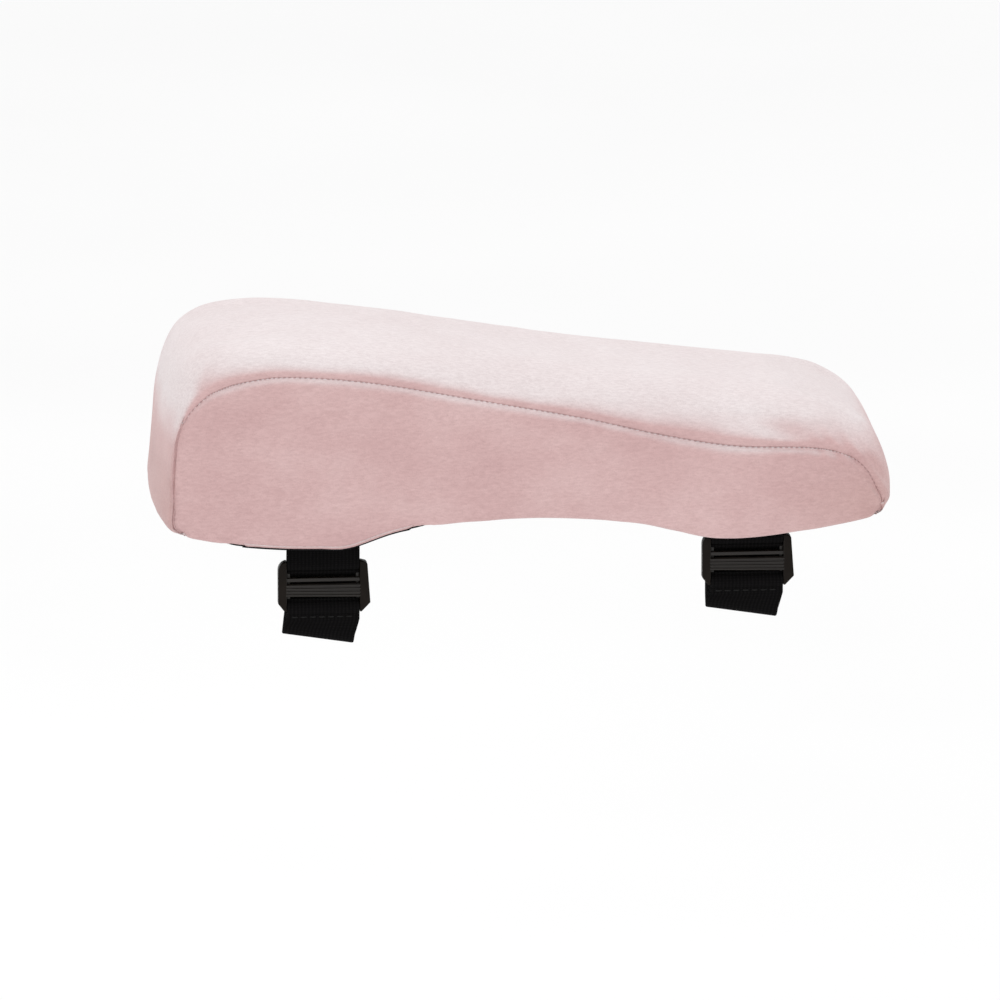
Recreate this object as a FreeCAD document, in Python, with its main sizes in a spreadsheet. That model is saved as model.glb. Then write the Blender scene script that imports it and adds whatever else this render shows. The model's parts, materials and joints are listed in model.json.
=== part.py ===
import FreeCAD, Part
import math
import os

# Chair armrest pad: a contoured foam cushion in a sewn velour cover, with a zip along its far side,
# held under a chair's armrest by two loops of elastic webbing, each with a plastic slide buckle.
# Frame: X along the pad, its low front end at +X; Y across it; Z up.
# Z = 0 is the lower face of the rear cross strap, which lies on the armrest.

Vector = FreeCAD.Vector
doc = FreeCAD.newDocument("armrest_pad")

SIZES = [
    # cushion
    ("pad_width", 90.0, "cushion across Y"),
    ("cover_thick", 1.4, "velour bonded to its backing"),
    ("edge_radius", 8.5, "rounding of the cushion's long edges"),
    ("front_lift", 0.8, "the front foot is this much higher than the rear one"),
    ("panel_wrap", 10.0, "how far a side panel reaches in from the side"),
    ("bottom_back", -112.0, "rear edge of the bottom panel"),
    ("bottom_front", 114.0, "front edge of the bottom panel"),
    ("bottom_rise", 17.0, "height that clears the underside's arch"),
    # zip in the far side panel
    ("zip_length", 156.0, "tapes, end to end"),
    ("zip_height", 24.0, "centre line of the zip"),
    ("zip_width", 11.0, "both tapes"),
    ("tape_thick", 0.8, "zip tape"),
    ("coil_width", 1.6, "one row of teeth"),
    ("coil_thick", 1.2, "one row of teeth"),
    ("coil_gap", 0.08, "between the two rows"),
    ("stop_length", 2.4, "end stop"),
    ("slider_length", 9.0, "slider body"),
    ("slider_width", 6.4, "slider body"),
    ("slider_play", 0.3, "slider to teeth"),
    ("slider_wall", 1.2, "slider plate and flanges"),
    ("slider_rest", 66.0, "closed place of the slider"),
    ("bridge_width", 2.0, "slider's bridge"),
    ("bridge_reach", 3.4, "half its length"),
    ("bridge_wall", 1.0, "its thickness"),
    ("pull_pin_radius", 0.6, "cross pin of the pull tab"),
    ("pull_length", 22.0, "pull tab from its pin"),
    ("pull_width", 6.4, "pull tab"),
    ("pull_arm", 1.5, "each arm beside the bridge"),
    ("pull_open", 4.6, "pin to the solid part of the tab"),
    # straps
    ("web_width", 25.0, "webbing"),
    ("web_thick", 1.4, "webbing"),
    ("strap_side", 29.5, "buckle plane and far leg from the middle"),
    ("rear_strap", -70.0, "centre of the rear strap"),
    ("front_strap", 76.0, "centre of the front strap"),
    ("rear_drop", 6.6, "rear buckle's top bar below the rear seat"),
    ("front_drop", 1.2, "front buckle's top bar below the front seat"),
    ("lean", 9.0, "sideways lean of the hanging loop, degrees"),
    ("far_skew", 4.0, "the far leg's upper end lies this much towards the front"),
    ("hem_drop", 4.2, "buckle's bottom bar to the fold's hem"),
    ("leg_length", 3.2, "near leg below the hem"),
    ("bend_radius", 2.2, "inside of the loop's bends"),
    # slide buckle
    ("buckle_width", 31.0, "buckle along X"),
    ("buckle_height", 17.6, "buckle along Z"),
    ("buckle_thick", 4.0, "buckle along Y"),
    ("buckle_corner", 3.4, "rounding of its corners"),
    ("buckle_window", 25.6, "between its cheeks"),
    ("end_bar_radius", 1.0, "top and bottom bar"),
    ("bar_play", 0.15, "webbing to bar"),
    ("ply_top", 3.75, "back ply's upper end below the buckle's top"),
    ("ply_length", 10.1, "back ply, up and down"),
    ("ply_play", 0.1, "back ply to the bars in front of it"),
    ("thin_bar_top", 6.7, "thin bar below the buckle's top"),
    ("thin_bar_height", 1.4, "thin bar"),
    ("thin_bar_thick", 2.4, "thin bar"),
    ("grip_bar_top", 8.8, "ridged bar below the buckle's top"),
    ("grip_bar_height", 4.4, "ridged bar"),
    ("grip_bar_thick", 3.2, "ridged bar"),
    ("ridge_radius", 0.45, "ridge on the grip bar"),
    ("ridge_count", 4, "ridges"),
    ("stitch_length", 1.9, "one stitch"),
    ("stitch_pitch", 3.0, "stitch spacing"),
    ("stitch_count", 8, "stitches in a row"),
    ("stitch_thick", 0.5, "thread"),
    ("stitch_proud", 0.25, "thread above the webbing"),
]

sheet = doc.addObject("Spreadsheet::Sheet", "Sizes")
for row, (alias, value, note) in enumerate(SIZES, start=1):
    sheet.set(f"A{row}", note)
    sheet.set(f"B{row}", str(value))
    sheet.setAlias(f"B{row}", alias)
doc.recompute()

# The cushion's side view, X and Z from the rear foot, counterclockwise. The flat feet are straight,
# the arch between them and the long way round over the top are smooth curves.
REAR_FOOT = (-80.0, -62.0)
FRONT_FOOT = (64.0, 80.0)
ARCH = [(-46.0, 5.4), (-30.0, 7.9), (-5.0, 9.4), (20.0, 8.8), (36.0, 7.2), (49.0, 3.9)]
OVER_THE_TOP = [
    (96.0, 3.6), (112.0, 6.0), (121.5, 9.4), (125.0, 16.0), (123.0, 25.5), (117.0, 36.0), (108.5, 43.2),
    (98.0, 46.0), (73.0, 47.8), (48.0, 51.2), (9.0, 56.2), (-32.0, 63.2), (-59.0, 67.6), (-80.0, 70.4),
    (-94.0, 71.0), (-106.0, 69.0), (-115.2, 63.2), (-120.9, 54.0), (-124.4, 42.0), (-126.2, 29.0),
    (-125.8, 16.0), (-121.6, 7.6), (-113.0, 3.4), (-99.0, 1.3),
]
# The seam between a side panel and the top band, from the rear lower corner over to the front one.
SEAM = [
    (-122.4, 12.0), (-123.0, 26.0), (-120.6, 41.0), (-112.4, 53.0), (-98.0, 59.0), (-81.6, 60.6),
    (-52.0, 57.6), (-17.0, 50.8), (18.0, 43.6), (44.0, 37.0), (70.0, 33.0), (98.0, 31.8), (113.0, 27.0),
    (120.0, 20.0), (123.0, 12.0),
]
SEAM_TAIL = -6.0


def size(alias):
    """A driving dimension, in mm, from the spreadsheet."""
    return float(sheet.get(alias))


def bind(obj, **expressions):
    """Bind properties to the spreadsheet; a double underscore in a name stands for a dot."""
    for name, formula in expressions.items():
        obj.setExpression(name.replace("__", "."), formula)


def named(obj, label):
    obj.Label = label
    return obj


def origin_plane(body, role):
    return [item for item in body.Origin.OriginFeatures if item.Role == role][0]


def sketch_on(body, role, curves, name):
    """A sketch on one of the body's own origin planes, drawn from a closed run of curves."""
    sketch = body.newObject("Sketcher::SketchObject", name)
    sketch.AttachmentSupport = [(origin_plane(body, role), "")]
    sketch.MapMode = "FlatFace"
    for curve in curves:
        sketch.addGeometry(curve, False)
    return sketch


def padded_body(name, role, curves, length):
    """A PartDesign body: one outline padded equally to both sides of its plane."""
    body = doc.addObject("PartDesign::Body", name)
    pad = body.newObject("PartDesign::Pad", name + "_pad")
    pad.Profile = sketch_on(body, role, curves, name + "_outline")
    pad.SideType = "Symmetric"
    bind(pad, Length=length)
    return body


def line(start, end):
    return Part.LineSegment(Vector(*start, 0), Vector(*end, 0))


def polygon(points):
    return [line(a, b) for a, b in zip(points, points[1:] + points[:1])]


def quarter_arc(centre, radius, start_degrees):
    """A quarter circle, counterclockwise from the start angle."""
    circle = Part.Circle(Vector(*centre, 0), Vector(0, 0, 1), radius)
    start = math.radians(start_degrees)
    return Part.ArcOfCircle(circle, start, start + math.pi / 2)


def smooth(points, level_ends):
    """A spline through the points, level at both ends where that is asked for."""
    curve = Part.BSplineCurve()
    vectors = [Vector(x, y, 0) for x, y in points]
    if level_ends:
        curve.interpolate(Points=vectors, InitialTangent=Vector(1, 0, 0), FinalTangent=Vector(1, 0, 0))
    else:
        curve.interpolate(vectors)
    return curve


def inset(points, distance):
    """Move a run of points to its left by the distance; the first and last run level."""
    moved = []
    for index, (x, y) in enumerate(points):
        run, rise = 1.0, 0.0
        if 0 < index < len(points) - 1:
            run = points[index + 1][0] - points[index - 1][0]
            rise = points[index + 1][1] - points[index - 1][1]
        length = math.hypot(run, rise)
        moved.append((x - rise / length * distance, y + run / length * distance))
    return moved


def cushion_curves(distance):
    """The cushion's side outline, moved in by the distance, standing on the cross straps."""
    foot = size("web_thick")
    lift = size("front_lift")
    rear = [(x, foot) for x in REAR_FOOT]
    front = [(x, foot + lift) for x in FRONT_FOOT]
    arch = [rear[1]] + [(x, z + foot) for x, z in ARCH] + [front[0]]
    over = [front[1]] + [(x, z + foot) for x, z in OVER_THE_TOP] + [rear[0]]
    arch = inset(arch, distance)
    over = inset(over, distance)
    return [line(over[-1], arch[0]), smooth(arch, True), line(arch[-1], over[0]), smooth(over, True)]


def cushion_body(name, distance, width, radius):
    """A cushion-shaped body whose two long side edges are rounded."""
    body = padded_body(name, "XZ_Plane", cushion_curves(distance), width)
    doc.recompute()
    pad = body.Tip
    rim = []
    for number, edge in enumerate(pad.Shape.Edges, start=1):
        box = edge.BoundBox
        if box.YMax - box.YMin < 1e-6:
            rim.append(f"Edge{number}")
    fillet = body.newObject("PartDesign::Fillet", name + "_rounding")
    fillet.Base = (pad, rim)
    bind(fillet, Radius=radius)
    return body


def box(name, length, width, height, place):
    """A Part::Box bound to formulas for its size and for its lowest corner."""
    solid = doc.addObject("Part::Box", name)
    bind(solid, Length=length, Width=width, Height=height)
    for axis, formula in zip("xyz", place):
        solid.setExpression(f"Placement.Base.{axis}", formula)
    return solid


def cylinder_along(name, axis, radius, height, place):
    """A Part::Cylinder along X or Z, bound to formulas; place is the centre of its first end."""
    solid = doc.addObject("Part::Cylinder", name)
    bind(solid, Radius=radius, Height=height)
    if axis == "X":
        solid.Placement = FreeCAD.Placement(Vector(), FreeCAD.Rotation(Vector(0, 1, 0), 90))
    for letter, formula in zip("xyz", place):
        solid.setExpression(f"Placement.Base.{letter}", formula)
    return solid


def combined(kind, name, first, second):
    result = doc.addObject(kind, name)
    result.Base = first
    result.Tool = second
    return result


def fused(name, shapes):
    result = doc.addObject("Part::MultiFuse", name)
    result.Shapes = shapes
    return result


def cushion():
    """Foam core, and the cover round it cut into its sewn panels."""
    outer = cushion_body("cushion_outer", 0.0, "Sizes.pad_width", "Sizes.edge_radius")
    foam = cushion_body(
        "foam",
        size("cover_thick"),
        "Sizes.pad_width - 2 * Sizes.cover_thick",
        "Sizes.edge_radius - Sizes.cover_thick",
    )
    cover = combined("Part::Cut", "cover_whole", outer, foam)

    foot = size("web_thick")
    seam = [(x, z + foot) for x, z in SEAM]
    ends = [(seam[-1][0], SEAM_TAIL), (seam[0][0], SEAM_TAIL)]
    loop = [smooth(seam, False), line(seam[-1], ends[0]), line(ends[0], ends[1]), line(ends[1], seam[0])]
    panels = []
    remaining = cover
    for side, place in (
        ("near", "-Sizes.pad_width / 2 + Sizes.panel_wrap / 2"),
        ("far", "Sizes.pad_width / 2 - Sizes.panel_wrap / 2"),
    ):
        region = padded_body(f"{side}_panel_region", "XZ_Plane", loop, "Sizes.panel_wrap + 0.1")
        bind(region, Placement__Base__y=place)
        panels.append(combined("Part::Common", f"panel_{side}", cover, region))
        remaining = combined("Part::Cut", f"cover_without_{side}", remaining, region)
    inner = "(Sizes.pad_width - 2 * Sizes.panel_wrap - 0.1)"
    base = box(
        "bottom_region",
        "Sizes.bottom_front - Sizes.bottom_back",
        inner,
        "Sizes.bottom_rise",
        ("Sizes.bottom_back", f"-{inner} / 2", "0"),
    )
    bottom = combined("Part::Common", "panel_bottom", cover, base)
    band = combined("Part::Cut", "band", remaining, base)
    slot_low = "Sizes.zip_height - Sizes.zip_width / 2"
    slot = box(
        "zip_slot",
        "Sizes.zip_length",
        "6 * Sizes.cover_thick",
        "Sizes.zip_width",
        ("-Sizes.zip_length / 2", "Sizes.pad_width / 2 - Sizes.cover_thick", slot_low),
    )
    far = combined("Part::Cut", "panel_far_slotted", panels[1], slot)
    return [
        named(foam, "foam_core"),
        named(band, "cover_top_band"),
        named(panels[0], "cover_side_near"),
        named(far, "cover_side_far"),
        named(bottom, "cover_bottom"),
    ]


def zipper():
    """Two tapes in the far panel's slot, two rows of teeth, end stops, a slider and its pull tab."""
    nodes = []
    tape_back = "Sizes.pad_width / 2 - Sizes.cover_thick + 0.1"
    coil_back = f"({tape_back} + Sizes.tape_thick)"
    tape_height = "(Sizes.zip_width / 2 - Sizes.coil_gap / 2)"
    upper_start = "Sizes.zip_height + Sizes.coil_gap / 2"
    lower_coil = "Sizes.zip_height - Sizes.coil_gap / 2 - Sizes.coil_width"
    tapes = (
        ("lower", "Sizes.zip_height - Sizes.zip_width / 2", lower_coil),
        ("upper", upper_start, upper_start),
    )
    for side, tape_low, coil_low in tapes:
        nodes.append(
            box(
                f"zip_tape_{side}",
                "Sizes.zip_length",
                "Sizes.tape_thick",
                tape_height,
                ("-Sizes.zip_length / 2", tape_back, tape_low),
            )
        )
        nodes.append(
            box(
                f"zip_teeth_{side}",
                "Sizes.zip_length - 2 * Sizes.stop_length",
                "Sizes.coil_thick",
                "Sizes.coil_width",
                ("-Sizes.zip_length / 2 + Sizes.stop_length", coil_back, coil_low),
            )
        )
    stop_height = "(2 * Sizes.coil_width + Sizes.coil_gap)"
    for name, place in (
        ("zip_stop_rear", "-Sizes.zip_length / 2"),
        ("zip_stop_front", "Sizes.zip_length / 2 - Sizes.stop_length"),
    ):
        nodes.append(
            box(
                name,
                "Sizes.stop_length",
                "Sizes.coil_thick + 0.5",
                stop_height,
                (place, coil_back, f"Sizes.zip_height - {stop_height} / 2"),
            )
        )

    # slider: a plate over the teeth, a flange down each side of them and a bridge for the pull tab
    plate_back = f"({coil_back} + Sizes.coil_thick + Sizes.slider_play)"
    plate_front = f"({plate_back} + Sizes.slider_wall)"
    rear_end = "Sizes.slider_rest - Sizes.slider_length / 2"
    flange_back = f"({coil_back} + Sizes.slider_play)"
    pieces = [
        box(
            "slider_plate",
            "Sizes.slider_length",
            "Sizes.slider_wall",
            "Sizes.slider_width",
            (rear_end, plate_back, "Sizes.zip_height - Sizes.slider_width / 2"),
        )
    ]
    for name, low in (
        ("slider_flange_low", "Sizes.zip_height - Sizes.slider_width / 2"),
        ("slider_flange_high", "Sizes.zip_height + Sizes.slider_width / 2 - Sizes.slider_wall"),
    ):
        pieces.append(
            box(
                name,
                "Sizes.slider_length",
                f"{plate_front} - {flange_back}",
                "Sizes.slider_wall",
                (rear_end, flange_back, low),
            )
        )
    pin_gap = "(2 * Sizes.pull_pin_radius + 0.8)"
    bridge_low = "Sizes.zip_height - Sizes.bridge_width / 2"
    for name, start in (
        ("bridge_foot_rear", "Sizes.slider_rest - Sizes.bridge_reach"),
        ("bridge_foot_front", "Sizes.slider_rest + Sizes.bridge_reach - Sizes.bridge_wall"),
    ):
        pieces.append(
            box(
                name,
                "Sizes.bridge_wall",
                f"{pin_gap} + Sizes.bridge_wall",
                "Sizes.bridge_width",
                (start, plate_front, bridge_low),
            )
        )
    pieces.append(
        box(
            "bridge_top",
            "2 * Sizes.bridge_reach",
            "Sizes.bridge_wall",
            "Sizes.bridge_width",
            ("Sizes.slider_rest - Sizes.bridge_reach", f"{plate_front} + {pin_gap}", bridge_low),
        )
    )
    nodes.append(named(fused("slider_whole", pieces), "zip_slider"))

    # pull tab: a cross pin under the bridge, an arm at each end of it and a flat tab
    pin_centre = f"({plate_front} + {pin_gap} / 2)"
    tab_low = "Sizes.zip_height - Sizes.pull_width / 2"
    tab_back = f"{pin_centre} - Sizes.pull_pin_radius"
    parts = [
        cylinder_along(
            "pull_pin",
            "Z",
            "Sizes.pull_pin_radius",
            "Sizes.pull_width",
            ("Sizes.slider_rest", pin_centre, tab_low),
        ),
        box(
            "pull_tab_plate",
            "Sizes.pull_length - Sizes.pull_open",
            "2 * Sizes.pull_pin_radius",
            "Sizes.pull_width",
            ("Sizes.slider_rest - Sizes.pull_length", tab_back, tab_low),
        ),
    ]
    for name, low in (
        ("pull_arm_low", tab_low),
        ("pull_arm_high", "Sizes.zip_height + Sizes.pull_width / 2 - Sizes.pull_arm"),
    ):
        parts.append(
            box(
                name,
                "Sizes.pull_open + 0.2",
                "2 * Sizes.pull_pin_radius",
                "Sizes.pull_arm",
                ("Sizes.slider_rest - Sizes.pull_open - 0.2", tab_back, low),
            )
        )
    nodes.append(named(fused("pull_whole", parts), "zip_pull"))
    return nodes


def buckle(end, centre_x, top_z):
    """A slide buckle: two cheeks, a round bar at each end, a thin bar and a ridged grip bar."""
    half_width = size("buckle_width") / 2
    half_height = size("buckle_height") / 2
    corner = size("buckle_corner")
    across = half_width - corner
    up = half_height - corner
    rounded = [
        line((-across, -half_height), (across, -half_height)),
        quarter_arc((across, -up), corner, 270),
        line((half_width, -up), (half_width, up)),
        quarter_arc((across, up), corner, 0),
        line((across, half_height), (-across, half_height)),
        quarter_arc((-across, up), corner, 90),
        line((-half_width, up), (-half_width, -up)),
        quarter_arc((-across, -up), corner, 180),
    ]
    plate = padded_body(f"{end}_buckle_plate", "XZ_Plane", rounded, "Sizes.buckle_thick")
    bind(
        plate,
        Placement__Base__x=centre_x,
        Placement__Base__y="-Sizes.strap_side",
        Placement__Base__z=f"{top_z} - Sizes.buckle_height / 2",
    )
    window = box(
        f"{end}_buckle_window",
        "Sizes.buckle_window",
        "2 * Sizes.buckle_thick",
        "Sizes.buckle_height + 2",
        (
            f"{centre_x} - Sizes.buckle_window / 2",
            "-Sizes.strap_side - Sizes.buckle_thick",
            f"{top_z} - Sizes.buckle_height - 1",
        ),
    )
    cheeks = combined("Part::Cut", f"{end}_buckle_cheeks", plate, window)
    bar_start = f"{centre_x} - Sizes.buckle_window / 2 - 0.5"
    bar_length = "Sizes.buckle_window + 1"
    shapes = [cheeks]
    for name, height in (
        ("top", f"{top_z} - Sizes.end_bar_radius"),
        ("bottom", f"{top_z} - Sizes.buckle_height + Sizes.end_bar_radius"),
    ):
        shapes.append(
            cylinder_along(
                f"{end}_{name}_bar",
                "X",
                "Sizes.end_bar_radius",
                bar_length,
                (bar_start, "-Sizes.strap_side", height),
            )
        )
    for name in ("thin", "grip"):
        shapes.append(
            box(
                f"{end}_{name}_bar",
                bar_length,
                f"Sizes.{name}_bar_thick",
                f"Sizes.{name}_bar_height",
                (
                    bar_start,
                    f"-Sizes.strap_side - Sizes.{name}_bar_thick / 2",
                    f"{top_z} - Sizes.{name}_bar_top - Sizes.{name}_bar_height",
                ),
            )
        )
    for number in range(int(size("ridge_count"))):
        step = f"Sizes.grip_bar_height * ({number} + 0.5) / Sizes.ridge_count"
        shapes.append(
            cylinder_along(
                f"{end}_ridge_{number}",
                "X",
                "Sizes.ridge_radius",
                bar_length,
                (
                    bar_start,
                    "-Sizes.strap_side - Sizes.grip_bar_thick / 2",
                    f"{top_z} - Sizes.grip_bar_top - {step}",
                ),
            )
        )
    return named(fused(f"{end}_buckle_whole", shapes), f"{end}_buckle")


def eye(name, direction, reach):
    """Webbing sewn back on itself round a bar: a ring with a two-ply tail that runs up or down."""
    bore = size("end_bar_radius") + size("bar_play")
    ply = size("web_thick")
    outer = bore + ply
    height = math.sqrt(outer ** 2 - ply ** 2)
    angle = math.atan2(height, ply)
    rim = Part.Circle(Vector(), Vector(0, 0, 1), outer)
    if direction > 0:
        ring = Part.ArcOfCircle(rim, math.pi - angle, 2 * math.pi + angle)
    else:
        ring = Part.ArcOfCircle(rim, -angle, math.pi + angle)
    curves = [
        ring,
        line((ply, direction * height), (ply, direction * reach)),
        line((ply, direction * reach), (-ply, direction * reach)),
        line((-ply, direction * reach), (-ply, direction * height)),
        Part.Circle(Vector(), Vector(0, 0, 1), bore),
    ]
    return padded_body(name, "YZ_Plane", curves, "Sizes.web_width")


def strap(end, drop, seat_z):
    """One strap: the sewn cross strap and tab, the buckle, and the hanging elastic loop."""
    centre_x = f"Sizes.{end}_strap"
    ply = size("web_thick")
    side = size("strap_side")
    lean = math.radians(size("lean"))
    half = size("web_width") / 2
    leg = size("leg_length")
    bend = size("bend_radius")
    bar_z = f"({seat_z} - Sizes.{drop})"
    seat = size("front_lift") if end == "front" else 0.0

    eye_reach = "(Sizes.end_bar_radius + Sizes.bar_play + Sizes.web_thick + 0.1)"
    left_edge = f"{centre_x} - Sizes.web_width / 2"
    cross = box(
        f"{end}_cross_strap",
        "Sizes.web_width",
        f"2 * Sizes.strap_side - {eye_reach} - Sizes.web_thick",
        "Sizes.web_thick",
        (left_edge, f"-Sizes.strap_side + {eye_reach}", seat_z),
    )

    # the tab's eye round the top bar, and its short ledge that meets the cross strap
    tab_eye = eye(f"{end}_tab_eye", 1, size(drop) + ply)
    bind(
        tab_eye,
        Placement__Base__x=centre_x,
        Placement__Base__y="-Sizes.strap_side",
        Placement__Base__z=bar_z,
    )
    ledge = box(
        f"{end}_tab_ledge",
        "Sizes.web_width",
        eye_reach,
        "Sizes.web_thick",
        (left_edge, "-Sizes.strap_side", seat_z),
    )
    tab = named(fused(f"{end}_tab_whole", [tab_eye, ledge]), f"{end}_upper_strap")

    slide = buckle(end, centre_x, f"({bar_z} + Sizes.end_bar_radius)")

    # the ply of webbing that lies behind the thin bar and the grip bar
    behind = box(
        f"{end}_back_ply",
        "Sizes.web_width",
        "Sizes.web_thick",
        "Sizes.ply_length",
        (
            left_edge,
            "-Sizes.strap_side + Sizes.grip_bar_thick / 2 + Sizes.ply_play",
            f"{bar_z} + Sizes.end_bar_radius - Sizes.ply_top - Sizes.ply_length",
        ),
    )

    fold = eye(f"{end}_lower_fold", -1, size("hem_drop"))
    low_bar = f"{bar_z} + 2 * Sizes.end_bar_radius - Sizes.buckle_height"
    bind(
        fold,
        Placement__Base__x=centre_x,
        Placement__Base__y="-Sizes.strap_side",
        Placement__Base__z=low_bar,
    )

    hem_z = f"({low_bar} - Sizes.hem_drop)"
    hem = seat - size(drop) + 2 * size("end_bar_radius") - size("buckle_height") - size("hem_drop")
    mid_x = size(f"{end}_strap")

    stitches = []
    row_length = size("stitch_pitch") * (size("stitch_count") - 1)
    for number in range(int(size("stitch_count"))):
        middle = mid_x - row_length / 2 + number * size("stitch_pitch")
        stitches.append(
            Part.makeBox(
                size("stitch_length"),
                size("stitch_proud"),
                size("stitch_thick"),
                Vector(middle - size("stitch_length") / 2, -side - ply - size("stitch_proud"), hem + 0.9),
            )
        )
    thread = doc.addObject("Part::Feature", f"{end}_fold_stitches")
    thread.Shape = Part.makeCompound(stitches)

    # near leg: from the straight hem to the leaning loop, in the front ply
    turned = [
        (x * math.cos(lean) - leg * math.sin(lean), -x * math.sin(lean) - leg * math.cos(lean))
        for x in (half, -half)
    ]
    near_outline = polygon([(-half, 0.0), turned[1], turned[0], (half, 0.0)])
    near = padded_body(f"{end}_near_leg", "XZ_Plane", near_outline, "Sizes.web_thick")
    bind(
        near,
        Placement__Base__x=centre_x,
        Placement__Base__y="-Sizes.strap_side - Sizes.web_thick / 2",
        Placement__Base__z=hem_z,
    )

    # the loop's run: a bend, the straight run under the armrest, and a bend up to the far leg
    front_in = -side
    far_in = side - ply
    low = -leg - bend
    run_curves = [
        line((front_in - ply, -leg), (front_in, -leg)),
        quarter_arc((front_in + bend, -leg), bend, 180),
        line((front_in + bend, low), (far_in - bend, low)),
        quarter_arc((far_in - bend, -leg), bend, 270),
        line((far_in, -leg), (far_in + ply, -leg)),
        quarter_arc((far_in - bend, -leg), bend + ply, 270),
        line((far_in - bend, low - ply), (front_in + bend, low - ply)),
        quarter_arc((front_in + bend, -leg), bend + ply, 180),
    ]
    run = padded_body(f"{end}_loop_run", "YZ_Plane", run_curves, "Sizes.web_width")
    bind(run, Placement__Base__x=centre_x, Placement__Base__z=hem_z, Placement__Rotation__Angle="Sizes.lean")
    run.Placement.Rotation.Axis = Vector(0, 1, 0)

    # far leg: turns from the leaning loop to its straight end under the cushion
    top = seat + ply
    high_x = mid_x + size("far_skew")
    low_front, low_back = [Vector(mid_x + x, far_in, hem + z) for x, z in turned]
    high_front = Vector(high_x + half, far_in, top)
    high_back = Vector(high_x - half, far_in, top)
    outline = Part.makePolygon([low_front, high_front, high_back, low_back, low_front])
    far = doc.addObject("Part::Feature", f"{end}_far_leg")
    far.Shape = Part.Face(outline).extrude(Vector(0, ply, 0))
    return [cross, tab, slide, behind, fold, thread, near, run, far]


def problems(nodes):
    found = []
    for obj in doc.Objects:
        if "Invalid" in obj.State or "Error" in obj.State:
            found.append(f"{obj.Label}: {obj.State}")
    for node in nodes:
        if node.Shape.isNull() or not node.Shape.isValid() or not node.Shape.Solids:
            found.append(f"{node.Label}: bad shape")
    return found


nodes = cushion() + zipper()
nodes += strap("rear", "rear_drop", "0")
nodes += strap("front", "front_drop", "Sizes.front_lift")
doc.recompute()

faults = problems(nodes)
if faults:
    raise RuntimeError("; ".join(faults))

os.makedirs("parts", exist_ok=True)
for node in nodes:
    node.Shape.exportStep(f"parts/{node.Label}.step")
    bounds = node.Shape.BoundBox
    print(
        f"{node.Label:20s} solids {len(node.Shape.Solids):2d}  volume {node.Shape.Volume:10.1f}  "
        f"x {bounds.XMin:7.1f} {bounds.XMax:7.1f}  y {bounds.YMin:6.1f} {bounds.YMax:6.1f}  "
        f"z {bounds.ZMin:6.1f} {bounds.ZMax:6.1f}"
    )
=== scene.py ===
import bpy
import bmesh
import json
import math
from mathutils import Matrix, Vector, noise
from mathutils.bvhtree import BVHTree
from mathutils.geometry import delaunay_2d_cdt
from mathutils.kdtree import KDTree


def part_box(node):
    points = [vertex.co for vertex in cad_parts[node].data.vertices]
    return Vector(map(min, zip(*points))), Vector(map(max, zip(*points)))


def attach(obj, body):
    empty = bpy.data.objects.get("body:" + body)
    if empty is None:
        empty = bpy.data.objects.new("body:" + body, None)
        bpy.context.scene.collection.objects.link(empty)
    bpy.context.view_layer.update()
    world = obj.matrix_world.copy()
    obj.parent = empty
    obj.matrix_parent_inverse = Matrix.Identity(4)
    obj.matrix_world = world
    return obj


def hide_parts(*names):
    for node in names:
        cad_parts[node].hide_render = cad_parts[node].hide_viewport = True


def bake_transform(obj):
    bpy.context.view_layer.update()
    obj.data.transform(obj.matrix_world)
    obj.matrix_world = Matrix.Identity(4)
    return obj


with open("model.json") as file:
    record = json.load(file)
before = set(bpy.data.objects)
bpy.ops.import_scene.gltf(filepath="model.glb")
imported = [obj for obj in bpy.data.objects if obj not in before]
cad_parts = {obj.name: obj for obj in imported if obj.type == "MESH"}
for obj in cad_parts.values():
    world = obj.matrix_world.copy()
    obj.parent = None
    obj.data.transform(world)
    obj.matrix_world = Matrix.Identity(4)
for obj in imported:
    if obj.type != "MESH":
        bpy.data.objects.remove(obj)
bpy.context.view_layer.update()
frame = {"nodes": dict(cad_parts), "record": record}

MM = 0.001
ENDS = ("rear", "front")
MATERIALS = {}


# ---------------------------------------------------------------- what the frame says
def span(node):
    """Lowest corner, highest corner and middle of a CAD node."""
    low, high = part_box(node)
    return low, high, (low + high) / 2


HALF_WIDTH = (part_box("cover_top_band")[1].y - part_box("cover_top_band")[0].y) / 2
FOOT_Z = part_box("cover_side_near")[0].z
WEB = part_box("rear_cross_strap")[1].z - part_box("rear_cross_strap")[0].z
JOINTS = {joint["name"]: joint for joint in frame["record"]["behaviour"]["joints"]}


def in_scene(name, data):
    """A new object in the scene for a mesh, curve, light or camera."""
    item = bpy.data.objects.new(name, data)
    bpy.context.scene.collection.objects.link(item)
    return item


# ---------------------------------------------------------------- camera
CAMERA_AZIMUTH = math.radians(-5.0)
CAMERA_ELEVATION = math.radians(14.0)
CAMERA_DISTANCE = 5.0
VIEW_WIDTH = 0.345
SENSOR = 36.0
# where the middle of the picture looks, sideways and up in the picture plane from the frame's origin
LOOK_LEFT = 6.47 * MM
LOOK_UP = 6.6 * MM


def make_camera():
    back = Vector((
        math.sin(CAMERA_AZIMUTH) * math.cos(CAMERA_ELEVATION),
        -math.cos(CAMERA_AZIMUTH) * math.cos(CAMERA_ELEVATION),
        math.sin(CAMERA_ELEVATION),
    ))
    data = bpy.data.cameras.new("photo_camera")
    data.sensor_width = SENSOR
    data.lens = SENSOR * CAMERA_DISTANCE / VIEW_WIDTH
    data.clip_end = 20
    camera = in_scene("photo_camera", data)
    turn = back.to_track_quat("Z", "Y")
    target = turn @ Vector((-LOOK_LEFT, LOOK_UP, 0))
    camera.rotation_euler = turn.to_euler()
    camera.location = target + back * CAMERA_DISTANCE
    bpy.context.scene.camera = camera


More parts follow.
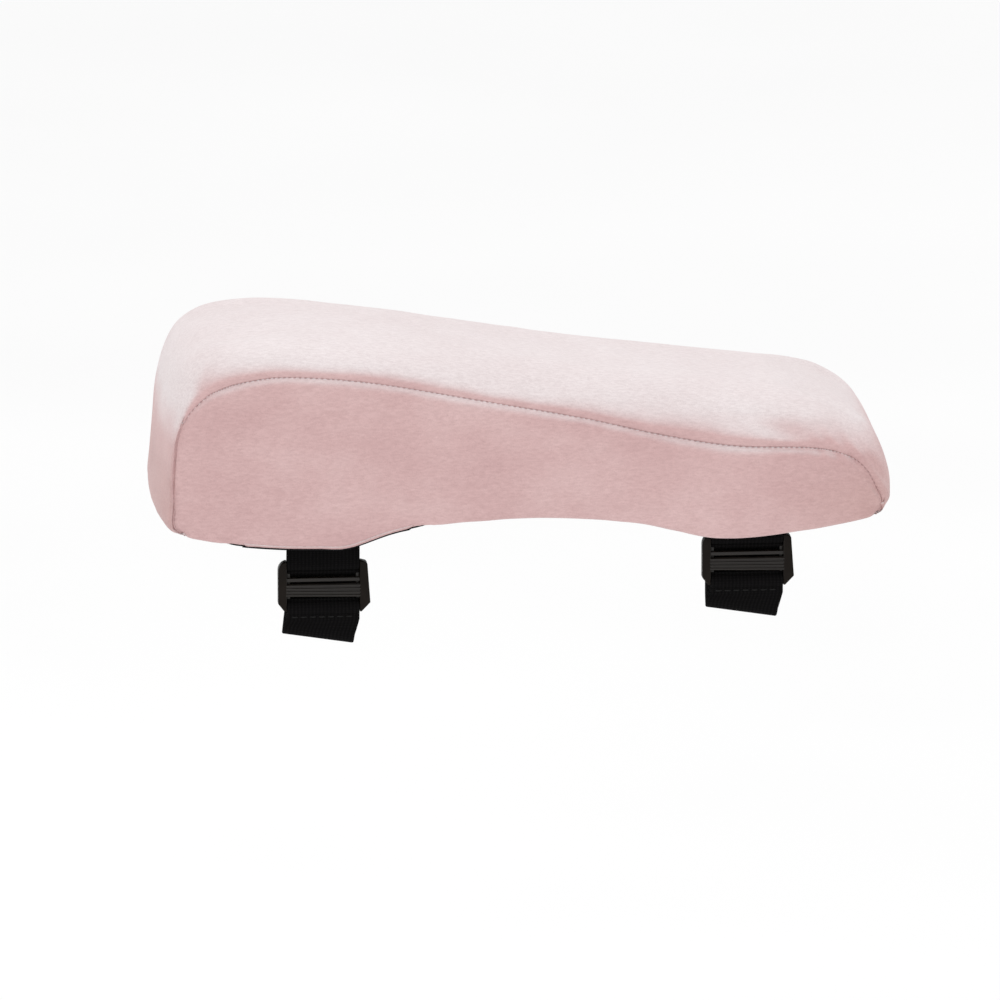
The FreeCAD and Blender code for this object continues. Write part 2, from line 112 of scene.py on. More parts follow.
# ---------------------------------------------------------------- materials
class Nodes:
    """A material's node tree, with short calls that add and join nodes."""

    def __init__(self, name, **values):
        self.material = bpy.data.materials.new(name)
        self.material.use_nodes = True
        self.tree = self.material.node_tree
        self.shader = self.tree.nodes["Principled BSDF"]
        self.set(**values)

    def set(self, **values):
        """Give inputs of the shader a value or another node's output."""
        for name, value in values.items():
            self.feed(self.shader.inputs[name.replace("_", " ")], value)

    def feed(self, socket, value):
        if isinstance(value, bpy.types.NodeSocket):
            self.tree.links.new(value, socket)
        else:
            socket.default_value = value

    def add(self, kind, inputs, output, **settings):
        """An output of a new node whose inputs hold values or other nodes' outputs."""
        node = self.tree.nodes.new(kind)
        for name, value in settings.items():
            setattr(node, name, value)
        for name, value in inputs.items():
            self.feed(node.inputs[name], value)
        return node.outputs[output]

    def coords(self, scale=(1, 1, 1), source="Object", turn=(0, 0, 0)):
        vector = self.add("ShaderNodeTexCoord", {}, source)
        return self.add("ShaderNodeMapping", {"Vector": vector, "Scale": scale, "Rotation": turn}, "Vector")

    def noise(self, vector, scale, detail=2.0, roughness=0.5, distortion=0.0):
        inputs = {"Vector": vector, "Scale": scale, "Detail": detail, "Roughness": roughness}
        return self.add("ShaderNodeTexNoise", {**inputs, "Distortion": distortion}, "Fac")

    def wave(self, vector, scale, direction="X"):
        inputs = {"Vector": vector, "Scale": scale}
        return self.add("ShaderNodeTexWave", inputs, "Fac", wave_type="BANDS", bands_direction=direction)

    def part(self, vector, axis):
        return self.add("ShaderNodeSeparateXYZ", {"Vector": vector}, axis)

    def facing(self, axis):
        """How far a surface faces along an axis, from -1 to 1."""
        return self.part(self.add("ShaderNodeNewGeometry", {}, "Normal"), axis)

    def math(self, operation, first, second):
        return self.add("ShaderNodeMath", {0: first, 1: second}, 0, operation=operation)

    def spread(self, value, low, high, to_low=0.0, to_high=1.0, kind="LINEAR"):
        inputs = {"Value": value, "From Min": low, "From Max": high, "To Min": to_low, "To Max": to_high}
        return self.add("ShaderNodeMapRange", inputs, "Result", interpolation_type=kind)

    def ramp(self, value, *stops):
        """A colour ramp of (place, colour) stops."""
        output = self.add("ShaderNodeValToRGB", {"Fac": value}, "Color")
        elements = output.node.color_ramp.elements
        while len(elements) < len(stops):
            elements.new(0.5)
        for element, (place, colour) in zip(elements, stops):
            element.position = place
            element.color = (*colour, 1)
        return output

    def mix(self, kind, amount, first, second):
        inputs = {"Factor": amount, "A": first, "B": second}
        return self.add("ShaderNodeMix", inputs, "Result", data_type="RGBA", blend_type=kind)

    def bump(self, *layers):
        """Bump layers as (height, strength, distance in metres), the last one on top."""
        inputs = {}
        for height, strength, distance in layers:
            inputs.update({"Height": height, "Strength": strength, "Distance": distance})
            inputs["Normal"] = self.add("ShaderNodeBump", inputs, "Normal")
        self.set(Normal=inputs["Normal"])


def velour():
    """Short-pile blush velour: cloudy where the pile lies differently, paler on its upper faces by painted
    light from above, and darker low on both ends by painted shade.
    """
    made = Nodes("blush_velour", Roughness=0.95, Sheen_Weight=0.35, Sheen_Roughness=0.4)
    made.set(Sheen_Tint=(1.0, 0.96, 0.96, 1.0), Specular_IOR_Level=0.1)
    clouds = made.noise(made.coords((1.0, 1.0, 1.6)), 24, 4.0, 0.6, 0.3)
    flecks = made.noise(made.coords((0.34, 1.0, 1.0)), 1300, 3.0, 0.6)
    pile = made.noise(made.coords(), 2600, 2.0, 0.7)
    deep = made.ramp(
        clouds, (0.28, (0.620, 0.405, 0.402)), (0.50, (0.668, 0.452, 0.446)), (0.74, (0.722, 0.512, 0.504))
    )
    # painted light: the paler tone that the lit upper faces are given
    painted_light_tone = made.ramp(clouds, (0.30, (0.755, 0.670, 0.672)), (0.70, (0.805, 0.735, 0.738)))
    # painted light: how much paler the pile is painted where light from above falls, on top and on the upper
    # part of the rear end
    rear = made.spread(made.facing("X"), -0.45, -0.90)
    height = made.part(made.coords(), "Z")
    forward = made.part(made.coords(), "X")
    lift = made.math("ADD", made.facing("Z"), made.spread(clouds, 0.3, 0.7, -0.08, 0.08))
    lift = made.math("ADD", lift, made.math("MULTIPLY", rear, made.spread(height, 0.034, 0.056, 0.0, 0.6)))
    # the painted light fades out towards the front end
    lift = made.math("ADD", lift, made.spread(forward, 0.095, 0.125, 0.0, -0.16))
    painted_top_light = made.spread(lift, 0.12, 0.80, kind="SMOOTHSTEP")
    tone = made.mix("MIX", painted_top_light, deep, painted_light_tone)
    # painted shade: the lower parts of both ends are darkened, where shade falls
    rear_low_shade = made.math("MULTIPLY", rear, made.spread(height, 0.044, 0.026))
    front_low_shade = made.math("MULTIPLY", made.spread(forward, 0.080, 0.118), made.spread(height, 0.036, 0.018))
    painted_shade_tone = made.ramp(clouds, (0.3, (0.83, 0.79, 0.77)), (0.7, (0.90, 0.86, 0.84)))
    tone = made.mix("MULTIPLY", made.math("MAXIMUM", rear_low_shade, front_low_shade), tone, painted_shade_tone)
    fleck_tone = made.ramp(flecks, (0.34, (0.86, 0.84, 0.84)), (0.66, (1.06, 1.07, 1.07)))
    pile_tone = made.ramp(pile, (0.30, (0.88, 0.86, 0.86)), (0.70, (1.08, 1.08, 1.08)))
    made.set(Base_Color=made.mix("MULTIPLY", 0.5, made.mix("MULTIPLY", 0.55, tone, fleck_tone), pile_tone))
    made.bump((clouds, 0.25, 0.004), (flecks, 0.25, 0.0005), (pile, 0.5, 0.0004))
    return made.material


def grip_fabric():
    """Black knitted underside."""
    made = Nodes("black_grip_knit", Roughness=0.95, Specular_IOR_Level=0.12)
    knit = made.math("MULTIPLY", made.wave(made.coords(), 420, "X"), made.wave(made.coords(), 520, "Y"))
    worn = made.math("MULTIPLY", knit, made.noise(made.coords(), 60, 3.0))
    made.set(Base_Color=made.ramp(worn, (0.1, (0.006, 0.006, 0.0065)), (0.6, (0.024, 0.023, 0.025))))
    made.bump((knit, 0.6, 0.0004), (made.noise(made.coords(), 3000), 0.3, 0.0002))
    return made.material


def webbing():
    """Black elastic webbing: lengthwise ribs and a cross weave, in metres along and across the ribbon."""
    made = Nodes("black_elastic_webbing", Roughness=0.95, Specular_IOR_Level=0.06)
    ribs = made.wave(made.coords(source="UV"), 250, "X")
    picks = made.wave(made.coords(source="UV"), 420, "Y")
    weave = made.math("MULTIPLY", made.spread(ribs, 0, 1, 0.35, 1), made.spread(picks, 0, 1, 0.55, 1))
    fuzz = made.noise(made.coords(), 2400, 2.0, 0.7)
    worn = made.math("MULTIPLY", weave, fuzz)
    made.set(Base_Color=made.ramp(worn, (0.05, (0.0022, 0.0020, 0.0021)), (0.7, (0.0088, 0.0080, 0.0084))))
    made.bump((weave, 0.6, 0.0003), (fuzz, 0.3, 0.0002))
    return made.material


def plastic(name, gloss):
    """Black acetal with a fine spark-eroded grain and slightly polished high spots."""
    made = Nodes(name, Specular_IOR_Level=gloss, IOR=1.48)
    grain = made.noise(made.coords(), 1900, 3.0, 0.6)
    wear = made.noise(made.coords(), 140, 3.0, 0.6)
    made.set(Base_Color=made.ramp(wear, (0.35, (0.0080, 0.0055, 0.0040)), (0.75, (0.0135, 0.0100, 0.0075))))
    made.set(Roughness=made.spread(wear, 0.3, 0.75, 0.34, 0.50))
    made.bump((grain, 0.22, 0.0002))
    return made.material


def thread(name, colour, light):
    """Twisted sewing thread."""
    made = Nodes(name, Roughness=0.7, Specular_IOR_Level=0.2)
    twist = made.wave(made.coords(turn=(0, 0.6, 0.6)), 1500, "X")
    made.set(Base_Color=made.ramp(twist, (0.1, colour), (0.9, light)))
    made.bump((twist, 0.6, 0.0001))
    return made.material


def zip_cloth():
    """Woven zip tape in the cover's pink."""
    made = Nodes("pink_zip_tape", Roughness=0.85, Specular_IOR_Level=0.2)
    herring = made.wave(made.coords(turn=(0, 0.78, 0)), 460, "X")
    weave = made.math("MULTIPLY", herring, made.wave(made.coords(), 380, "Z"))
    made.set(Base_Color=made.ramp(weave, (0.0, (0.46, 0.26, 0.27)), (0.8, (0.62, 0.40, 0.41))))
    made.bump((weave, 0.5, 0.0003))
    return made.material


def nylon():
    made = Nodes("pink_nylon_coil", IOR=1.53, Specular_IOR_Level=0.5)
    cloud = made.noise(made.coords(), 400, 2.0)
    made.set(Base_Color=made.ramp(cloud, (0.3, (0.54, 0.33, 0.34)), (0.7, (0.64, 0.42, 0.43))))
    made.set(Roughness=made.spread(cloud, 0.3, 0.7, 0.32, 0.42))
    made.bump((cloud, 0.2, 0.0002))
    return made.material


def nickel():
    """Nickel-plated zinc, slightly worn."""
    made = Nodes("nickel_plate", Metallic=1.0)
    scratches = made.noise(made.coords((1, 1, 14)), 300, 3.0, 0.7)
    made.set(Base_Color=made.ramp(scratches, (0.3, (0.50, 0.48, 0.46)), (0.7, (0.66, 0.64, 0.62))))
    made.set(Roughness=made.spread(scratches, 0.3, 0.7, 0.24, 0.40))
    made.bump((scratches, 0.08, 0.0001))
    return made.material


def foam():
    made = Nodes("memory_foam", Roughness=0.95)
    cells = made.noise(made.coords(), 1400, 3.0, 0.7)
    made.set(Base_Color=made.ramp(cells, (0.3, (0.62, 0.55, 0.36)), (0.7, (0.80, 0.74, 0.56))))
    made.bump((cells, 0.6, 0.0006))
    return made.material


# ---------------------------------------------------------------- mesh helpers
def place_mesh(name, mesh, material=None):
    """A new object for a mesh, with its material and smooth shading."""
    if material is not None:
        mesh.materials.clear()
        mesh.materials.append(material)
    mesh.shade_smooth()
    return in_scene(name, mesh)


def new_object(name, vertices, faces, material=None):
    mesh = bpy.data.meshes.new(name)
    mesh.from_pydata([tuple(v) for v in vertices], [], faces)
    mesh.update()
    return place_mesh(name, mesh, material)


def apply_modifiers(piece):
    """Freeze what the modifiers make of a piece into its mesh."""
    depsgraph = bpy.context.evaluated_depsgraph_get()
    mesh = bpy.data.meshes.new_from_object(piece.evaluated_get(depsgraph))
    piece.modifiers.clear()
    piece.data = mesh
    mesh.shade_smooth()


def finish_piece(piece, body, slot, *nodes):
    """Hide the CAD nodes that a piece stands for and hang the piece on the body that it rides on; the slot is
    not used.
    """
    if nodes:
        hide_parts(*nodes)
    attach(piece, body)


def finish_between(piece, body, other, start, end, slot, *nodes):
    """For a piece that crosses the joint between two bodies: hide the CAD nodes that it stands for and bake
    its placement into its mesh; the bodies, the joint's ends and the slot are not used.
    """
    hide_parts(*nodes)
    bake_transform(piece)


def mesh_from(work, name):
    """A new mesh with what a bmesh holds; the bmesh is used up."""
    mesh = bpy.data.meshes.new(name)
    work.to_mesh(mesh)
    work.free()
    return mesh


def tree_of(points):
    """A search tree of 3-D points."""
    tree = KDTree(len(points))
    for index, point in enumerate(points):
        tree.insert(point, index)
    tree.balance()
    return tree


def tube_faces(rings, sides):
    """Faces of a closed tube whose vertices come ring by ring."""
    faces = []
    for start in range(0, (rings - 1) * sides, sides):
        for side in range(sides):
            after = (side + 1) % sides
            faces.append((start + side, start + after, start + sides + after, start + sides + side))
    faces.append(tuple(range(sides)))
    faces.append(tuple((rings - 1) * sides + side for side in reversed(range(sides))))
    return faces


def outward(mesh):
    """Make the faces of a closed mesh look outwards."""
    work = bmesh.new()
    work.from_mesh(mesh)
    bmesh.ops.recalc_face_normals(work, faces=work.faces)
    work.to_mesh(mesh)
    work.free()


def round_edges(piece, width, segments, angle=40):
    rounding = piece.modifiers.new("rounding", "BEVEL")
    rounding.width = width
    rounding.segments = segments
    rounding.limit_method = "ANGLE"
    rounding.angle_limit = math.radians(angle)
    apply_modifiers(piece)


def rectangle(left, right, low, high, drop=0.0):
    """Corners of a rectangle from the lower left one, with the lower right one this much lower."""
    return [(left, low), (right, low - drop), (right, high), (left, high)]


def straight(first, second, steps):
    return [first.lerp(second, step / steps) for step in range(steps + 1)]


def arc_points(centre, radius, start, end, steps):
    """Points of an arc in the YZ plane, angles in degrees from +Y towards +Z."""
    result = []
    for step in range(steps + 1):
        angle = math.radians(start + (end - start) * step / steps)
        result.append(centre + Vector((0, math.cos(angle), math.sin(angle))) * radius)
    return result


def join_paths(*runs):
    """Runs of points end to end, without points that fall on each other."""
    path = []
    for run in runs:
        for point in run:
            if not path or (point - path[-1]).length > 0.05 * MM:
                path.append(point)
    return path


# ---------------------------------------------------------------- cushion
# The side view in mm from the rear foot, counterclockwise from there: its outline along the middle.
OUTLINE = [
    (-72.0, 0.0), (-62.0, 0.2), (-46.0, 5.4), (-30.0, 7.9), (-5.0, 9.2), (20.0, 8.6), (36.0, 7.0),
    (49.0, 3.8), (62.0, 1.0), (72.0, 0.8), (84.0, 1.5), (98.0, 3.6), (112.0, 6.0), (121.0, 9.0),
    (124.6, 15.6), (122.8, 25.5), (116.8, 36.0), (108.4, 43.0), (98.0, 46.2), (73.0, 48.6), (48.0, 51.6),
    (9.0, 56.8), (-32.0, 63.6), (-59.0, 67.8), (-80.0, 70.4), (-94.0, 70.8), (-106.0, 68.8), (-114.6, 63.2),
    (-119.2, 53.8), (-121.7, 41.0), (-122.9, 27.0), (-123.9, 17.0), (-124.4, 11.6), (-123.5, 8.2),
    (-120.8, 6.3), (-116.0, 4.8), (-108.0, 3.0), (-98.0, 1.5), (-84.0, 0.3),
]
# The seam between a side panel and the top band, from the rear lower corner over to the front one.
SEAM = [
    (-119.8, 4.0), (-121.4, 12.0), (-122.6, 24.0), (-122.2, 38.0), (-118.4, 46.8), (-113.0, 53.0),
    (-106.0, 57.2), (-96.0, 60.0), (-82.0, 61.2), (-54.0, 58.7), (-17.0, 51.8), (18.0, 45.0), (44.0, 38.6),
    (70.0, 33.9), (95.0, 32.7), (106.0, 30.8), (112.8, 27.8), (116.6, 23.4), (119.2, 17.6), (120.6, 11.0),
    (120.2, 4.0),
]
RING_COUNT = 300
LOW_FRONT_X = 120.5
LOW_REAR_X = -120.5
LOW_INSET = 1.5
FACES_DOWN = -0.25
# rows across half of the band: share of the shoulder's quarter turn, then share of the flat crown
SHOULDER_ROWS = [0.0, 0.05, 0.11, 0.2, 0.31, 0.43, 0.56, 0.7, 0.85, 1.0]
CROWN_ROWS = [0.08, 0.18, 0.3, 0.44, 0.6, 0.8, 1.0]
HALF_ROWS = len(SHOULDER_ROWS) + len(CROWN_ROWS)
ROWS = 2 * HALF_ROWS - 1
SHOULDER_REACH = 15.0
# how far a side panel wraps under the cushion, by place along it
WRAP = [(-121, 5.0), (-113, 5.0), (-96, 1.4), (-44, 1.4), (-26, 5.0), (121, 5.0)]
# where the wrap is thinnest, the side panel ends this many rows down and the dark base shows below it
THIN_WRAP = 1.4
THIN_WRAP_ROWS = 5
WRAP_PER_ROW = 0.6
CROWN_RISE = 0.9
# the rear end bulges this much more between the side panels
REAR_SWELL = 2.6
SEAM_PINCH = 0.9
# the cover undulates by this much in long and short waves
WANDER, FINE_WANDER = 0.3, 0.16
# the low front end puckers by this much, from here on over this length, and from this height up
PUCKER = 0.5
PUCKER_X, PUCKER_RUN = 92, 22
PUCKER_Z, PUCKER_RISE = 7, 5
GRID = 3.4
SIDE = HALF_WIDTH / MM
BAND, NEAR, FAR, BASE = range(4)
SIM_FRAMES = 20
SIM_CAP = 2.5 * MM
# an inward ray meets the seam line up to this share past a piece's ends, and no deeper than this
RAY_SLACK = 0.05
DEEPEST_SEAM = 25
# rings of points inside a side panel's edge, then how clear of the edge its even grid stays
EDGE_DEPTHS = (0.7, 1.5, 2.6)
GRID_CLEARANCE = 4.4
CLOTH_THICK = 0.9 * MM
# where the cover turns under the cushion, its seam isn't topstitched
TURNED_UNDER = -0.15
FOAM_SHRINK = 3.2
# the zip's opening in the far panel leaves this much of the tapes' width and length covered
TAPE_COVER = 1.6


def smooth_curve(points, steps, closed):
    """Dense points on a Catmull-Rom curve through the given ones."""
    dense = []
    total = len(points)
    for index in range(total if closed else total - 1):
        if closed:
            corners = [points[(index + shift) % total] for shift in (-1, 0, 1, 2)]
        else:
            corners = [points[min(max(index + shift, 0), total - 1)] for shift in (-1, 0, 1, 2)]
        p0, p1, p2, p3 = (Vector(corner) for corner in corners)
        for step in range(steps):
            t = step / steps
            dense.append(
                0.5 * (2 * p1 + (p2 - p0) * t + (2 * p0 - 5 * p1 + 4 * p2 - p3) * t * t
                       + (3 * p1 - p0 - 3 * p2 + p3) * t ** 3)
            )
    return dense


def evenly(points, count):
    """Evenly spaced points round a closed run of points."""
    lengths = [0.0]
    for first, second in zip(points, points[1:] + points[:1]):
        lengths.append(lengths[-1] + (second - first).length)
    result = []
    place = 0
    for number in range(count):
        wanted = lengths[-1] * number / count
        while lengths[place + 1] < wanted:
            place += 1
        share = (wanted - lengths[place]) / (lengths[place + 1] - lengths[place])
        result.append(points[place].lerp(points[(place + 1) % len(points)], share))
    return result


def lookup(table, x):
    """Reading of a table of (x, value) rows, eased between them."""
    if x <= table[0][0]:
        return table[0][1]
    for (x0, v0), (x1, v1) in zip(table, table[1:]):
        if x <= x1:
            share = (x - x0) / (x1 - x0)
            share = share * share * (3 - 2 * share)
            return v0 + (v1 - v0) * share
    return table[-1][1]


def normals_of(ring):
    """Unit outward normals of a counterclockwise ring of 2-D points."""
    result = []
    for index in range(len(ring)):
        along = ring[(index + 1) % len(ring)] - ring[index - 1]
        result.append(Vector((along.y, -along.x)).normalized())
    return result


def smoothed(values, rounds):
    """Values round a ring, each averaged with its neighbours several times."""
    for _ in range(rounds):
        values = [
            (values[i - 1] + 2 * values[i] + values[(i + 1) % len(values)]) / 4 for i in range(len(values))
        ]
    return values


def cross(first, second):
    return first.x * second.y - first.y * second.x


def inward_distance(point, normal, line):
    """How far in from an outline point the seam line runs, or None where the inward ray misses it."""
    found = []
    for first, second in zip(line, line[1:]):
        run = second - first
        facing = cross(normal, run)
        if abs(facing) < 1e-9:
            continue
        distance = cross(point - first, run) / facing
        share = cross(point - first, normal) / facing
        if -RAY_SLACK <= share <= 1 + RAY_SLACK and 0 < distance < DEEPEST_SEAM:
            found.append(distance)
    return min(found) if found else None


class Rings:
    """The cushion's rings in side view: its outline along the middle and the side panels' edge."""

    def __init__(self):
        self.outline = evenly(smooth_curve(OUTLINE, 24, True), RING_COUNT)
        self.normals = normals_of(self.outline)
        seam_line = smooth_curve(SEAM, 10, False) + [Vector(SEAM[-1])]
        insets = []
        for point, normal in zip(self.outline, self.normals):
            distance = inward_distance(point, normal, seam_line)
            if normal.y < FACES_DOWN:
                distance = LOW_INSET
            if distance is None:
                distance = insets[-1]
            insets.append(distance)
        insets = smoothed(insets, 6)
        self.edge = [p - n * d for p, n, d in zip(self.outline, self.normals, insets)]
        self.down = smoothed([1.0 if n.y < FACES_DOWN else 0.0 for n in self.normals], 10)
        self.is_low = [n.y < 0 and LOW_REAR_X < p.x < LOW_FRONT_X for p, n in zip(self.outline, self.normals)]

    def row_place(self, index, row):
        """Across-pad place of a row of the near half, and its share of the way from edge to outline."""
        wrap = lookup(WRAP, self.outline[index].x)
        reach = SHOULDER_REACH + (wrap - SHOULDER_REACH) * self.down[index]
        if row < len(SHOULDER_ROWS):
            angle = SHOULDER_ROWS[row] * math.pi / 2
            return -SIDE + reach * (1 - math.cos(angle)), math.sin(angle)
        return (-SIDE + reach) * (1 - CROWN_ROWS[row - len(SHOULDER_ROWS)]), 1.0

    def vertex(self, index, row, shrink):
        mirrored = row >= HALF_ROWS
        y, share = self.row_place(index, ROWS - 1 - row if mirrored else row)
        rise = CROWN_RISE * (1 - self.down[index]) + REAR_SWELL * max(0.0, -self.normals[index].x)
        crown = rise * (1 - (y / SIDE) ** 2) * share
        place = self.edge[index].lerp(self.outline[index], share) + self.normals[index] * (crown - shrink)
        y *= (SIDE - shrink) / SIDE
        return Vector((place.x, -y if mirrored else y, place.y))

    def panel_at(self, index, row):
        """Which panel a face of the rings belongs to; side panels wrap under the cushion's long edges."""
        if not (self.is_low[index] and self.is_low[(index + 1) % RING_COUNT]):
            return BAND
        wrap = lookup(WRAP, self.outline[index].x)
        wrapped = min(len(SHOULDER_ROWS) - 1, THIN_WRAP_ROWS + int((wrap - THIN_WRAP) / WRAP_PER_ROW))
        if row < wrapped:
            return NEAR
        if row >= ROWS - 1 - wrapped:
            return FAR
        return BASE


def cushion_mesh(name, shrink, opening):
    """One mesh of all the panels, with a face attribute that tells them apart."""
    rings = Rings()
    vertices = [rings.vertex(index, row, shrink) for index in range(RING_COUNT) for row in range(ROWS)]
    faces, panels = [], []
    for index in range(RING_COUNT):
        after = (index + 1) % RING_COUNT
        for row in range(ROWS - 1):
            here, there = index * ROWS + row, after * ROWS + row
            faces.append((here, here + 1, there + 1, there))
            panels.append(rings.panel_at(index, row))
    fill_side(vertices, faces, panels, NEAR, 0, -(SIDE - shrink), None)
    fill_side(vertices, faces, panels, FAR, ROWS - 1, SIDE - shrink, opening)
    piece = new_object(name, [v * MM + Vector((0, 0, FOOT_Z)) for v in vertices], faces)
    layer = piece.data.attributes.new("panel", "INT", "FACE")
    layer.data.foreach_set("value", panels)
    outward(piece.data)
    return piece


def fill_side(vertices, faces, panels, panel, row, y, opening):
    """Fill one side with an even mesh joined to the rings' end row, round the zip's opening if it has one."""
    edge = [Vector((vertices[i * ROWS + row].x, vertices[i * ROWS + row].z)) for i in range(RING_COUNT)]
    points = list(edge)
    borders = [(i, (i + 1) % RING_COUNT) for i in range(RING_COUNT)]
    if opening:
        hole = rectangle_points(*opening)
        first = len(points)
        borders += [(first + i, first + (i + 1) % len(hole)) for i in range(len(hole))]
        points += hole
    for depth in EDGE_DEPTHS:
        points += [p - n * depth for p, n in zip(edge, normals_of(edge))]
    points += grid_inside(edge, opening)
    made = delaunay_2d_cdt(points, borders, [list(range(RING_COUNT))], 1, 1e-4)
    names = []
    for place, origins in zip(made[0], made[3]):
        on_edge = [origin for origin in origins if origin < RING_COUNT]
        if on_edge:
            names.append(on_edge[0] * ROWS + row)
        else:
            names.append(len(vertices))
            vertices.append(Vector((place.x, y, place.y)))
    for face in made[2]:
        middle = sum((made[0][i] for i in face), Vector((0, 0))) / len(face)
        corners = [names[i] for i in face]
        if len(set(corners)) == len(corners) and not within(middle, opening, 0):
            faces.append(tuple(corners))
            panels.append(panel)


def rectangle_points(low_x, high_x, low_z, high_z):
    """Points round a rectangle, about a grid step apart."""
    corners = [Vector(corner) for corner in rectangle(low_x, high_x, low_z, high_z)]
    points = []
    for first, second in zip(corners, corners[1:] + corners[:1]):
        steps = max(2, round((second - first).length / GRID))
        points += straight(first, second, steps)[:-1]
    return points


def within(point, rectangle, margin):
    if rectangle is None:
        return False
    low_x, high_x, low_z, high_z = rectangle
    return low_x - margin < point.x < high_x + margin and low_z - margin < point.y < high_z + margin


def grid_inside(edge, opening):
    """Points of a triangular grid well inside the ring and clear of the opening."""
    tree = tree_of([(point.x, point.y, 0) for point in edge])
    points = []
    column = 0
    x = min(p.x for p in edge)
    while x < max(p.x for p in edge):
        z = GRID / 2 * (column % 2)
        while z < max(p.y for p in edge):
            candidate = Vector((x, z))
            clear = tree.find((x, z, 0))[2] > GRID_CLEARANCE and not within(candidate, opening, 0.6 * GRID)
            if clear and inside(candidate, edge):
                points.append(candidate)
            z += GRID
        x += GRID * math.sqrt(0.75)
        column += 1
    return points


def inside(point, ring):
    crossings = False
    for first, second in zip(ring, ring[1:] + ring[:1]):
        if (first.y > point.y) != (second.y > point.y):
            at = first.x + (point.y - first.y) / (second.y - first.y) * (second.x - first.x)
            if point.x < at:
                crossings = not crossings
    return crossings


def sewn_vertices(mesh):
    """Vertices on a seam between two panels or on the zip's opening."""
    panels = [item.value for item in mesh.attributes["panel"].data]
    touching = [set() for _ in mesh.vertices]
    uses = {}
    for face in mesh.polygons:
        for vertex in face.vertices:
            touching[vertex].add(panels[face.index])
        for edge in face.edge_keys:
            uses[edge] = uses.get(edge, 0) + 1
    sewn = {index for index, found in enumerate(touching) if len(found) > 1}
    for edge, count in uses.items():
        if count == 1:
            sewn.update(edge)
    based = {index for index, found in enumerate(touching) if BASE in found}
    return sewn, based


def puff(piece):
    """Cloth simulation of the stuffed cover: it stays where it is sewn and the panels swell."""
    sewn, based = sewn_vertices(piece.data)
    pins = piece.vertex_groups.new(name="sewn")
    pins.add(sorted(sewn | based), 1.0, "REPLACE")
    start = [v.co.copy() for v in piece.data.vertices]
    cloth = piece.modifiers.new("Cloth", "CLOTH")
    settings = cloth.settings
    settings.quality = 6
    settings.mass = 0.2
    settings.tension_stiffness = 18
    settings.compression_stiffness = 18
    settings.bending_stiffness = 1.5
    settings.use_pressure = True
    settings.uniform_pressure_force = 4.0
    settings.effector_weights.gravity = 0
    settings.vertex_group_mass = "sewn"
    cloth.collision_settings.use_collision = False
    cloth.point_cache.frame_start = 1
    cloth.point_cache.frame_end = SIM_FRAMES
    for number in range(1, SIM_FRAMES + 1):
        bpy.context.scene.frame_set(number)
    apply_modifiers(piece)
    bpy.context.scene.frame_set(1)
    moved = 0.0
    for vertex, origin in zip(piece.data.vertices, start):
        step = vertex.co - origin
        moved = max(moved, step.length)
        if step.length > SIM_CAP:
            vertex.co = origin + step * (SIM_CAP / step.length)
    print("cloth moved up to", round(moved / MM, 2), "mm")


def sew_in(piece):
    """Roll the panels into their seams, let the surface undulate and pucker the low end."""
    mesh = piece.data
    tree = tree_of([mesh.vertices[i].co.copy() for i in sewn_vertices(mesh)[0]])
    normals = [v.normal.copy() for v in mesh.vertices]
    for vertex, normal in zip(mesh.vertices, normals):
        point = vertex.co.copy()
        gap = tree.find(point)[2] / MM
        pinch = SEAM_PINCH * math.exp(-((gap / 1.5) ** 1.6))
        wander = WANDER * noise.noise(point * 38) + FINE_WANDER * noise.noise(point * 110 + Vector((3, 1, 7)))
        front = max(0.0, min(1.0, (point.x / MM - PUCKER_X) / PUCKER_RUN))
        front *= max(0.0, min(1.0, ((point.z - FOOT_Z) / MM - PUCKER_Z) / PUCKER_RISE))
        along = (point.x + 0.6 * point.z) / MM
        pucker = PUCKER * front * math.sin(along * 1.15 + 2 * noise.noise(point * 60)) * math.exp(-gap / 6)
        vertex.co = point + normal * MM * (wander * min(1.0, gap / 4) + pucker - pinch)


def split_panels(piece, panels):
    """Cut the finished cushion along its seams into one object for each panel's name and material."""
    result = []
    for number, (name, material) in enumerate(panels):
        work = bmesh.new()
        work.from_mesh(piece.data)
        layer = work.faces.layers.int["panel"]
        others = [face for face in work.faces if face[layer] != number]
        bmesh.ops.delete(work, geom=others, context="FACES")
        panel = place_mesh(name, mesh_from(work, name), material)
        shell = panel.modifiers.new("cloth thickness", "SOLIDIFY")
        shell.thickness = CLOTH_THICK
        shell.offset = -1
        apply_modifiers(panel)
        result.append(panel)
    bpy.data.objects.remove(piece)
    return result


def zip_opening():
    """The zip's opening in the far panel, in mm from the rear foot."""
    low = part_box("zip_tape_lower")[0]
    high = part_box("zip_tape_upper")[1]
    return (
        low.x / MM + TAPE_COVER, high.x / MM - TAPE_COVER,
        (low.z - FOOT_Z) / MM + TAPE_COVER, (high.z - FOOT_Z) / MM - TAPE_COVER,
    )


def make_cushion(pink):
    """The sewn cover and the foam inside it; returns the far panel."""
    piece = cushion_mesh("cushion", 0.0, zip_opening())
    puff(piece)
    finer = piece.modifiers.new("finer", "SUBSURF")
    finer.levels = 1
    finer.render_levels = 1
    apply_modifiers(piece)
    sew_in(piece)
    shown = [index for index, normal in enumerate(Rings().normals) if normal.y > TURNED_UNDER]
    for side, row in (("near", 0), ("far", ROWS - 1)):
        sew_seam(side, [piece.data.vertices[index * ROWS + row] for index in shown])
    names = ("top_band", "side_panel_near", "side_panel_far", "grip_panel")
    band, near, far, base = split_panels(piece, zip(names, (pink, pink, pink, grip_fabric())))
    for panel, node, slot in (
        (band, "cover_top_band", "velour"),
        (near, "cover_side_near", "velour"),
        (far, "cover_side_far", "velour"),
        (base, "cover_bottom", "grip_fabric"),
    ):
        finish_piece(panel, "pad", slot, node)
    core = cushion_mesh("foam_block", FOAM_SHRINK, None)
    core.data.materials.append(foam())
    finish_piece(core, "pad", "foam", "foam_core")
    return far


